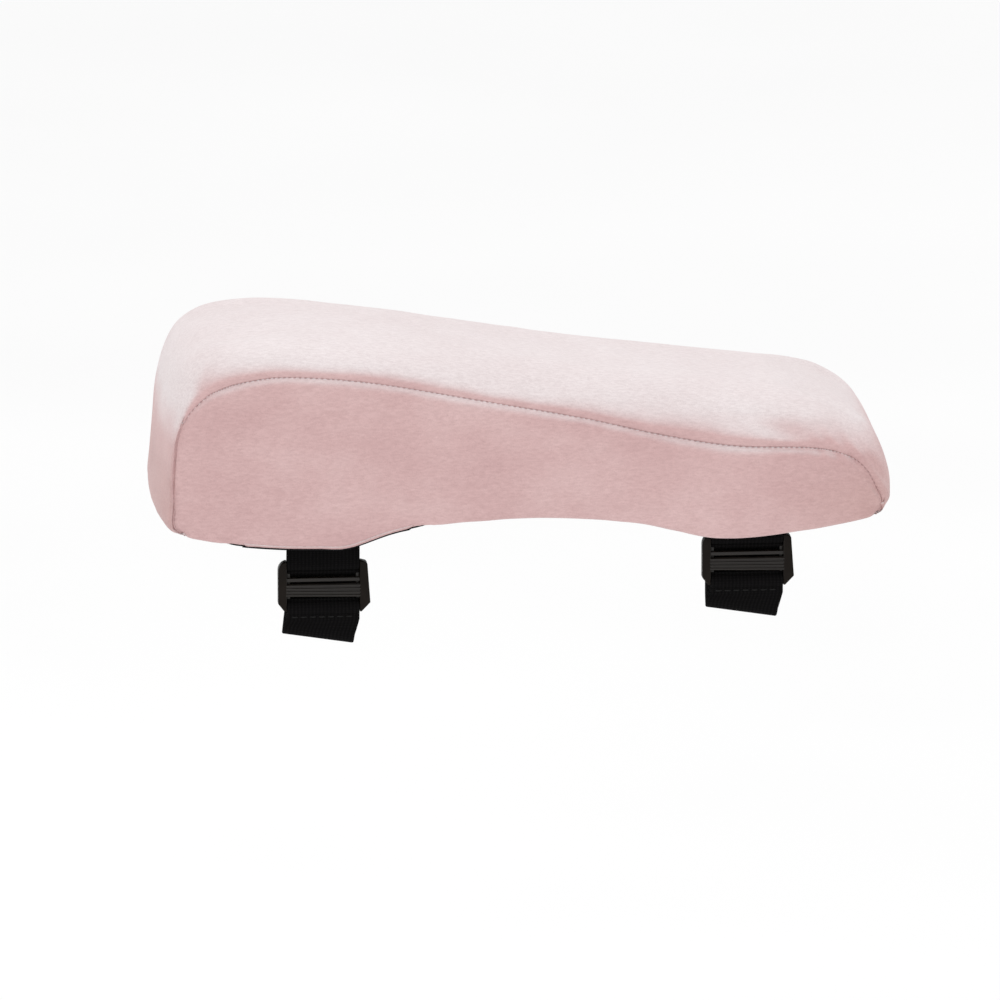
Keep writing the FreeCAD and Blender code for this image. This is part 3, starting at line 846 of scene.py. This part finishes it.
# ---------------------------------------------------------------- stitches
# a stitch lies this share of its bulge deep at its ends, where the thread is this much thinner
STITCH_DIP = 0.35
STITCH_END = 0.55
SEAM_STITCH_LIFT = 0.08 * MM
SEAM_STITCH_RADIUS = 0.14 * MM


def stitch(start, end, radius, bulge, rings=7, sides=8):
    """Vertices and faces of one stitch: a thread that dips into the cloth at both ends."""
    axis = end - start
    across = axis.cross(bulge).normalized()
    lift = bulge.normalized()
    vertices = []
    for ring in range(rings):
        share = ring / (rings - 1)
        height = math.sin(math.pi * share)
        centre = start + axis * share + bulge * (height - STITCH_DIP)
        size = radius * (STITCH_END + (1 - STITCH_END) * math.sqrt(height))
        for side in range(sides):
            angle = 2 * math.pi * side / sides
            vertices.append(centre + (across * math.cos(angle) + lift * math.sin(angle)) * size)
    return vertices, tube_faces(rings, sides)


def stitch_group(name, stitches, radius, material, rings=7, sides=8):
    """Many stitches as one piece; each is its two ends and its bulge."""
    vertices, faces = [], []
    for start, end, bulge in stitches:
        more, quads = stitch(start, end, radius, bulge, rings, sides)
        faces += [tuple(i + len(vertices) for i in quad) for quad in quads]
        vertices += more
    piece = new_object(name, vertices, faces, material)
    outward(piece.data)
    return piece


def stitch_row(first, last, length, gap, bulge):
    """Stitches along a straight row."""
    run = last - first
    count = max(1, int(run.length / (length + gap)))
    step = run / count
    share = length / (length + gap)
    return [(first + step * n, first + step * (n + share), bulge) for n in range(count)]


def sew_seam(side, chain):
    """Small stitches showing in the groove of a side panel's seam, along its ends and top."""
    stitches = []
    for before, after in zip(chain, chain[1:]):
        step = after.co - before.co
        lift = (before.normal + after.normal).normalized()
        raised = before.co + lift * SEAM_STITCH_LIFT
        stitches.append((raised + step * 0.1, raised + step * 0.62, lift * 0.12 * MM))
    rose = MATERIALS["seam_thread"]
    piece = stitch_group(f"seam_stitches_{side}", stitches, SEAM_STITCH_RADIUS, rose, 5, 6)
    finish_piece(piece, "pad", "zip_tape")


# ---------------------------------------------------------------- webbing
# the loops lean by this angle, which the near leg reaches by these shares of its length
LEAN = math.radians(9.0)
LEAN_SHARES = (0.35, 0.7)
LEG = 3.9 * MM
BEND = 2.9 * MM
LOOP_SAG = 0.7 * MM
# the loop comes up this much further forward on the far side, and its near leg hangs this much back
LOOP_SKEW = 6.0 * MM
LEG_SLANT = 0.9 * MM
LEVEL = Vector((1, 0, 0))
# the webbing is this share of its CAD thickness, so that its plies lie apart
PLY_SHARE = 0.86
TACK_INSET = 1.6 * MM
BOX_LENGTH = 10 * MM


def rounded_section(width, thick):
    """The webbing's cross-section: a flat strip with rounded selvedges."""
    points = []
    radius = thick / 2
    for side in (1, -1):
        for step in range(7):
            angle = math.pi / 2 - step * math.pi / 6
            out = width / 2 - radius + radius * math.cos(angle)
            points.append((side * out, side * radius * math.sin(angle)))
    return points


def ribbon(name, path, width, across=None):
    """Webbing swept along a path of points; across gives the width's direction, one for each point."""
    section = rounded_section(width, WEB * PLY_SHARE)
    across = across or [LEVEL] * len(path)
    vertices = []
    travelled = [0.0]
    for first, second in zip(path, path[1:]):
        travelled.append(travelled[-1] + (second - first).length)
    for index, point in enumerate(path):
        ahead = path[min(index + 1, len(path) - 1)] - path[max(index - 1, 0)]
        side = across[index].normalized()
        up = ahead.cross(side).normalized()
        vertices += [point + side * u + up * v for u, v in section]
    piece = new_object(name, vertices, tube_faces(len(path), len(section)), MATERIALS["webbing"])
    layer = piece.data.uv_layers.new(name="webbing")
    for loop in piece.data.loops:
        row, corner = divmod(loop.vertex_index, len(section))
        layer.data[loop.index].uv = (section[corner][0], travelled[row])
    outward(piece.data)
    return piece


class Strap:
    """The measures of one strap, read from the frame."""

    def __init__(self, end):
        self.end = end
        self.cross_low, self.cross_high, middle = span(f"{end}_cross_strap")
        self.x = middle.x
        self.under = middle.z
        self.width = self.cross_high.x - self.cross_low.x
        fold_low, fold_high, _ = span(f"{end}_lower_fold")
        self.bar_y = JOINTS[f"{end}_buckle_tilt"]["pos_m"][1]
        self.top_bar = Vector((self.x, self.bar_y, JOINTS[f"{end}_buckle_tilt"]["pos_m"][2]))
        ring = (fold_high.y - fold_low.y) / 2
        self.eye = ring - WEB / 2
        self.low_bar = Vector((self.x, self.bar_y, fold_high.z - ring))
        self.hem_z = fold_low.z
        _, far_high, far_middle = span(f"{end}_far_leg")
        self.far_y = far_middle.y
        self.far_top = Vector((far_high.x - self.width / 2, self.far_y, far_high.z - 0.3 * MM))

    def at(self, y, z):
        return Vector((self.x, y, z))


def make_cross_strap(strap):
    """The webbing sewn across under the cushion, with a box tack at each end."""
    path = straight(strap.at(strap.cross_low.y, strap.under), strap.at(strap.cross_high.y, strap.under), 16)
    cross_web = ribbon(f"{strap.end}_cross_webbing", path, strap.width)
    finish_piece(cross_web, "pad", "webbing", f"{strap.end}_cross_strap")
    under = strap.cross_low.z + WEB * (1 - PLY_SHARE) / 2
    down = Vector((0, 0, -0.18 * MM))
    left, right = strap.x - strap.width / 2 + TACK_INSET, strap.x + strap.width / 2 - TACK_INSET
    tacks = []
    for low_y in (strap.cross_low.y + 2 * MM, strap.cross_high.y - BOX_LENGTH - 2 * MM):
        corners = [Vector((x, y, under)) for x, y in rectangle(left, right, low_y, low_y + BOX_LENGTH)]
        for first, second in ((0, 1), (1, 2), (2, 3), (3, 0), (0, 2), (1, 3)):
            tacks += stitch_row(corners[first], corners[second], 2.0 * MM, 0.8 * MM, down)
    box_tacks = stitch_group(f"{strap.end}_box_stitches", tacks, 0.26 * MM, MATERIALS["thread"])
    finish_piece(box_tacks, "pad", "thread")


def make_tab(strap):
    """The tab: forward from under the cushion, down round the buckle's top bar and up behind it."""
    eye = strap.eye
    start = strap.at(strap.cross_low.y + 0.6 * MM, strap.under)
    bend = strap.at(strap.bar_y, strap.under - eye)
    path = join_paths(
        straight(start, bend + Vector((0, 0, eye)), 3),
        arc_points(bend, eye, 90, 180, 8),
        straight(strap.at(strap.bar_y - eye, bend.z), strap.at(strap.bar_y - eye, strap.top_bar.z), 8),
        arc_points(strap.top_bar, eye, 180, 400, 22),
    )
    if bend.z - strap.top_bar.z > eye:
        path = join_paths(path, straight(path[-1], strap.at(strap.bar_y + WEB / 2, strap.under - WEB), 5))
    tab = ribbon(f"{strap.end}_tab", path, strap.width)
    held = strap.at(strap.cross_low.y + 0.5 * MM, strap.under)
    hanging = strap.top_bar + Vector((0, eye, eye))
    finish_between(tab, "pad", f"{strap.end}_loop", held, hanging, "webbing", f"{strap.end}_upper_strap")


def make_back_ply(strap):
    """The webbing threaded behind the thin bar and the grip bar."""
    low, high, middle = span(f"{strap.end}_back_ply")
    corners = [
        strap.at(strap.bar_y - 0.9 * MM, high.z + 0.5 * MM), strap.at(middle.y, high.z - 2.4 * MM),
        strap.at(middle.y, high.z - 2.6 * MM), strap.at(middle.y, low.z + 0.6 * MM),
        strap.at(middle.y - 0.2 * MM, low.z + 0.2 * MM), strap.at(strap.bar_y - 0.4 * MM, low.z - 0.1 * MM),
    ]
    path = join_paths(*(straight(corners[i], corners[i + 1], steps) for i, steps in ((0, 6), (2, 8), (4, 4))))
    ply = ribbon(f"{strap.end}_threaded_ply", path, strap.width)
    finish_piece(ply, f"{strap.end}_buckle", "webbing", f"{strap.end}_back_ply")


def make_elastic(strap):
    """Hem behind, over the bottom bar, down in front, round under the armrest and up the far side."""
    turn = Matrix.Rotation(LEAN, 3, "Y")
    leaned = turn @ LEVEL
    hem = Vector((strap.x, 0, strap.hem_z))
    front_y = strap.bar_y - WEB / 2
    back_y = strap.bar_y + WEB / 2
    neck = strap.low_bar.z - strap.eye * 0.9
    fold = join_paths(
        straight(strap.at(back_y, strap.hem_z + 0.2 * MM), strap.at(back_y + 0.1 * MM, neck), 5),
        arc_points(strap.low_bar, strap.eye, -52, 232, 26),
        straight(strap.at(front_y - 0.1 * MM, neck), strap.at(front_y, strap.hem_z), 5),
    )

    def leaning(point):
        across = (point.y - front_y) / (strap.far_y - front_y)
        down = min(1.0, -point.z / LEG)
        return hem + turn @ (point + Vector((LOOP_SKEW * across - LEG_SLANT * down, 0, 0)))

    near_bend = Vector((0, front_y + BEND, -LEG))
    far_bend = Vector((0, strap.far_y - BEND, -LEG))
    middle = []
    for step in range(1, 15):
        share = step / 14
        sag = Vector((0, 0, -LOOP_SAG * math.sin(math.pi * share)))
        middle.append(near_bend.lerp(far_bend, share) + Vector((0, 0, -BEND)) + sag)
    local = [Vector((0, front_y, -LEG * share)) for share in LEAN_SHARES]
    local += arc_points(near_bend, BEND, 180, 270, 8) + middle
    loop = [leaning(point) for point in local]
    across = [LEVEL] * len(fold) + [LEVEL.lerp(leaned, share) for share in LEAN_SHARES]
    across += [leaned] * (len(loop) - 2)
    elastic = ribbon(f"{strap.end}_elastic", fold + loop, strap.width, across)
    finish_between(
        elastic, f"{strap.end}_buckle", f"{strap.end}_loop",
        strap.at(front_y, strap.hem_z + 0.4 * MM), strap.at(front_y, strap.hem_z - LEG),
        "webbing", f"{strap.end}_lower_fold", f"{strap.end}_near_leg", f"{strap.end}_loop_run",
    )

    # far leg: round the far corner, then from the lean to straight, and a little forward, on its way up
    corner = [leaning(point) for point in arc_points(far_bend, BEND, 270, 360, 8)]
    leg_path = corner + straight(corner[-1], strap.far_top, 12)[1:]
    leg_across = [leaned] * len(corner) + [leaned.lerp(LEVEL, step / 12) for step in range(1, 13)]
    far_leg = ribbon(f"{strap.end}_far_webbing", leg_path, strap.width, leg_across)
    finish_between(
        far_leg, f"{strap.end}_loop", "pad", corner[-1], strap.far_top, "webbing", f"{strap.end}_far_leg"
    )


def make_hem_stitches(strap):
    face_y = strap.bar_y - WEB * (1 + PLY_SHARE) / 2
    inset = strap.width / 2 - TACK_INSET
    height = strap.hem_z + 1.15 * MM
    row = stitch_row(
        Vector((strap.x - inset, face_y, height)), Vector((strap.x + inset, face_y, height)),
        2.0 * MM, 0.9 * MM, Vector((0, -0.2 * MM, 0)),
    )
    sewn = stitch_group(f"{strap.end}_hem_stitches", row, 0.28 * MM, MATERIALS["thread"])
    finish_piece(sewn, f"{strap.end}_buckle", "thread", f"{strap.end}_fold_stitches")


# ---------------------------------------------------------------- buckles
WINDOW = 25.1 * MM
CHEEK_HALF = 2.0 * MM
END_BAR = 1.0 * MM
THIN_TOP, THIN_HEIGHT = 5.9 * MM, 1.4 * MM
GRIP_TOP, GRIP_HEIGHT = 8.0 * MM, 4.4 * MM
BAR_REACH = 0.4 * MM
# the grip bar hangs lower by this much at its right end
GRIP_DROP = 0.5 * MM
RIDGES = 4
RIDGE_RADIUS = 0.42 * MM
# a thin lip inside each cheek, between the plies of webbing
FLANGE = 1.3 * MM
FLANGE_HALF = 0.3 * MM


def add_solid(work, first, second):
    """Add a closed shape between two rings of points."""
    near, far = ([work.verts.new(place) for place in ring] for ring in (first, second))
    faces = [work.faces.new(near), work.faces.new(list(reversed(far)))]
    for index in range(len(near)):
        after = (index + 1) % len(near)
        faces.append(work.faces.new((near[after], near[index], far[index], far[after])))
    bmesh.ops.recalc_face_normals(work, faces=faces)


def prism(work, outline, low_y, high_y):
    """Add a block with an outline in X and Z, from low_y to high_y."""
    add_solid(work, *([(x, y, z) for x, z in outline] for y in (low_y, high_y)))


def rod(work, start, end, radius, sides=20):
    """Add a round bar along X."""
    angles = [2 * math.pi * side / sides for side in range(sides)]
    section = [Vector((0, radius * math.cos(angle), radius * math.sin(angle))) for angle in angles]
    add_solid(work, *([place + corner for corner in section] for place in (start, end)))


def make_buckle(end):
    """The slide buckle: a rounded and a square-shouldered cheek, two end bars, a thin bar, a ridged bar."""
    low, high, middle = span(f"{end}_buckle")
    plane = JOINTS[f"{end}_buckle_tilt"]["pos_m"][1]
    left, right = middle.x - WINDOW / 2, middle.x + WINDOW / 2
    shoulder = [
        (low.x + 3.0 * MM * (1 - math.cos(angle)), high.z - 3.4 * MM * (1 - math.sin(angle)))
        for angle in (math.radians(15 * step) for step in range(6))
    ]
    left_cheek = [(left, low.z), (left, high.z)] + list(reversed(shoulder))
    left_cheek += [(low.x, low.z + 2.8 * MM), (low.x + 2.0 * MM, low.z + 0.2 * MM)]
    right_cheek = [
        (right, high.z), (right, low.z - 0.4 * MM), (right + 0.6 * MM, low.z - 0.4 * MM),
        (high.x + 0.7 * MM, low.z + 2.8 * MM), (high.x + 0.6 * MM, low.z + 4.0 * MM),
        (high.x - 0.3 * MM, high.z - 1.1 * MM), (high.x - 0.9 * MM, high.z - 0.5 * MM),
    ]
    thin = high.z - THIN_TOP
    grip = high.z - GRIP_TOP
    start, stop = left - BAR_REACH, right + BAR_REACH
    work = bmesh.new()
    for cheek in (left_cheek, right_cheek):
        prism(work, cheek, plane - CHEEK_HALF, plane + CHEEK_HALF)
    prism(work, rectangle(start, stop, thin - THIN_HEIGHT, thin), plane - 1.5 * MM, plane + 1.2 * MM)
    grip_bar = rectangle(start, stop, grip - GRIP_HEIGHT, grip, GRIP_DROP)
    prism(work, grip_bar, plane - 1.7 * MM, plane + 1.5 * MM)
    for z in (high.z - END_BAR, low.z + END_BAR):
        rod(work, Vector((start, plane, z)), Vector((stop, plane, z)), END_BAR)
    for number in range(RIDGES):
        share = (number + 0.5) / RIDGES
        first = Vector((start, plane - 1.65 * MM, grip - GRIP_HEIGHT * share))
        rod(work, first, Vector((stop, first.y, first.z - GRIP_DROP * share)), RIDGE_RADIUS, 12)
    for inner, outer in ((left, left + FLANGE), (right, right - FLANGE)):
        prism(work, rectangle(inner, outer, low.z, high.z), plane - FLANGE_HALF, plane + FLANGE_HALF)
    mesh = mesh_from(work, f"{end}_slide_buckle")
    piece = place_mesh(f"{end}_slide_buckle", mesh, MATERIALS["plastic"])
    # painted shade: the cheeks take the less reflective copy of the plastic and look darker
    mesh.materials.append(MATERIALS["cheek"])
    for face in mesh.polygons:
        if not left < face.center.x < right:
            face.material_index = 1
    round_edges(piece, 0.4 * MM, 3)
    finish_piece(piece, f"{end}_buckle", "black_plastic", f"{end}_buckle")


# ---------------------------------------------------------------- zip
TOOTH_PITCH = 1.5 * MM
FILAMENT = 0.27 * MM
COIL_STEPS = 12
ZIP_STITCH_MARGIN = 1.4 * MM


def make_zip(far_panel):
    tape = zip_cloth()
    for node in ("zip_tape_lower", "zip_tape_upper"):
        frame["nodes"][node].data.materials.clear()
        frame["nodes"][node].data.materials.append(tape)
    metal = nickel()
    for node, body, name in (
        ("zip_stop_rear", "pad", "zip_end_rear"),
        ("zip_stop_front", "pad", "zip_end_front"),
        ("zip_slider", "zip_slider", "zip_runner"),
        ("zip_pull", "zip_pull", "zip_tab"),
    ):
        soften(node, name, body, metal)
    coil = nylon()
    for side, shift in (("lower", 0.0), ("upper", 0.5)):
        make_coil(side, shift, coil)
    sew_zip(far_panel)


def soften(node, name, body, material):
    """A cast piece in the shape of its CAD node, with its edges rounded as casting leaves them."""
    work = bmesh.new()
    work.from_mesh(frame["nodes"][node].data)
    bmesh.ops.remove_doubles(work, verts=work.verts, dist=0.01 * MM)
    bmesh.ops.dissolve_limit(work, angle_limit=math.radians(2), verts=work.verts, edges=work.edges)
    piece = place_mesh(name, mesh_from(work, name), material)
    round_edges(piece, 0.25 * MM, 3, 30)
    finish_piece(piece, body, "zip_metal", node)


def make_coil(side, shift, material):
    """One row of a nylon zip: a flattened helix of monofilament."""
    low, high, mid = span(f"zip_teeth_{side}")
    turns = int((high.x - low.x) / TOOTH_PITCH) - 1
    path = []
    for step in range(turns * COIL_STEPS):
        angle = 2 * math.pi * step / COIL_STEPS
        path.append(Vector((
            low.x + TOOTH_PITCH * (0.5 + shift + step / COIL_STEPS),
            mid.y + ((high.y - low.y) / 2 - FILAMENT) * math.sin(angle),
            mid.z + ((high.z - low.z) / 2 - FILAMENT) * math.cos(angle),
        )))
    curve = bpy.data.curves.new(f"zip_coil_{side}", "CURVE")
    curve.dimensions = "3D"
    curve.bevel_depth = FILAMENT
    curve.bevel_resolution = 1
    curve.use_fill_caps = True
    spline = curve.splines.new("POLY")
    spline.points.add(len(path) - 1)
    for point, place in zip(spline.points, path):
        point.co = (*place, 1)
    helper = in_scene("helper", curve)
    mesh = bpy.data.meshes.new_from_object(helper.evaluated_get(bpy.context.evaluated_depsgraph_get()))
    bpy.data.objects.remove(helper)
    piece = place_mesh(f"zip_coil_{side}", mesh, material)
    finish_piece(piece, "pad", "zip_teeth", f"zip_teeth_{side}")


def sew_zip(far_panel):
    """A row of stitches above and below the zip, laid on the far panel."""
    tree = BVHTree.FromObject(far_panel, bpy.context.evaluated_depsgraph_get())
    low_x, high_x, low_z, high_z = (value * MM for value in zip_opening())
    outside = HALF_WIDTH + 30 * MM
    stitches = []
    for z in (low_z + FOOT_Z - ZIP_STITCH_MARGIN, high_z + FOOT_Z + ZIP_STITCH_MARGIN):
        row = stitch_row(Vector((low_x, outside, z)), Vector((high_x, outside, z)), 1.7 * MM, 0.8 * MM, None)
        for start, end, _ in row:
            ends = [tree.ray_cast(point, Vector((0, -1, 0)))[0] for point in (start, end)]
            lift = Vector((0, 0.05 * MM, 0))
            stitches.append((ends[0] + lift, ends[1] + lift, Vector((0, 0.16 * MM, 0))))
    piece = stitch_group("zip_stitches", stitches, 0.2 * MM, MATERIALS["seam_thread"], 5, 6)
    finish_piece(piece, "pad", "zip_tape")


# ---------------------------------------------------------------- studio
# the floor lies well below the pad, so that the pad's shadow falls outside the picture
FLOOR_DROP = 0.35
FLOOR_HALF = 8.0


def area_light(name, place, target, width, height, power):
    data = bpy.data.lights.new(name, "AREA")
    data.shape = "RECTANGLE"
    data.size = width
    data.size_y = height
    data.energy = power
    light = in_scene(name, data)
    light.location = place
    light.rotation_euler = (Vector(place) - Vector(target)).to_track_quat("Z", "Y").to_euler()


def make_studio():
    floor_z = min(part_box(f"{end}_loop_run")[0].z for end in ENDS) - FLOOR_DROP
    corners = [(x, y, floor_z) for x, y in rectangle(-FLOOR_HALF, FLOOR_HALF, -FLOOR_HALF, FLOOR_HALF)]
    made = Nodes("pale_floor", Roughness=0.9, Specular_IOR_Level=0.1)
    shade = made.noise(made.coords(), 3.0, 2.0)
    made.set(Base_Color=made.ramp(shade, (0.3, (0.40, 0.40, 0.40)), (0.7, (0.42, 0.42, 0.42))))
    made.set(Emission_Color=(1.0, 1.0, 1.0, 1.0), Emission_Strength=0.56)
    floor = new_object("floor", corners, [(0, 1, 2, 3)], made.material)
    world = bpy.data.worlds.new("studio")
    world.use_nodes = True
    background = world.node_tree.nodes["Background"].inputs
    background["Color"].default_value = (1.0, 1.0, 1.0, 1)
    background["Strength"].default_value = 0.92
    bpy.context.scene.world = world
    area_light("overhead", (-0.1, 0.3, 1.6), (0, 0, 0.04), 1.8, 1.4, 8.0)
    area_light("front_fill", (-0.6, -1.8, 0.9), (0, 0, 0.03), 1.4, 1.0, 3.0)
    bpy.context.scene.view_settings.view_transform = "Standard"
    bpy.context.scene.view_settings.look = "None"


make_camera()
MATERIALS["webbing"] = webbing()
MATERIALS["plastic"] = plastic("black_buckle_plastic", 0.42)
# painted shade: a less reflective copy of the buckle plastic, so that the cheeks look darker than the bars
MATERIALS["cheek"] = plastic("black_shaded_cheek_plastic", 0.10)
MATERIALS["thread"] = thread("black_thread", (0.005, 0.005, 0.005), (0.014, 0.013, 0.013))
MATERIALS["seam_thread"] = thread("rose_thread", (0.44, 0.27, 0.27), (0.58, 0.39, 0.385))
make_zip(make_cushion(velour()))
for end in ENDS:
    strap = Strap(end)
    make_cross_strap(strap)
    make_tab(strap)
    make_back_ply(strap)
    make_elastic(strap)
    make_hem_stitches(strap)
    make_buckle(end)
make_studio()
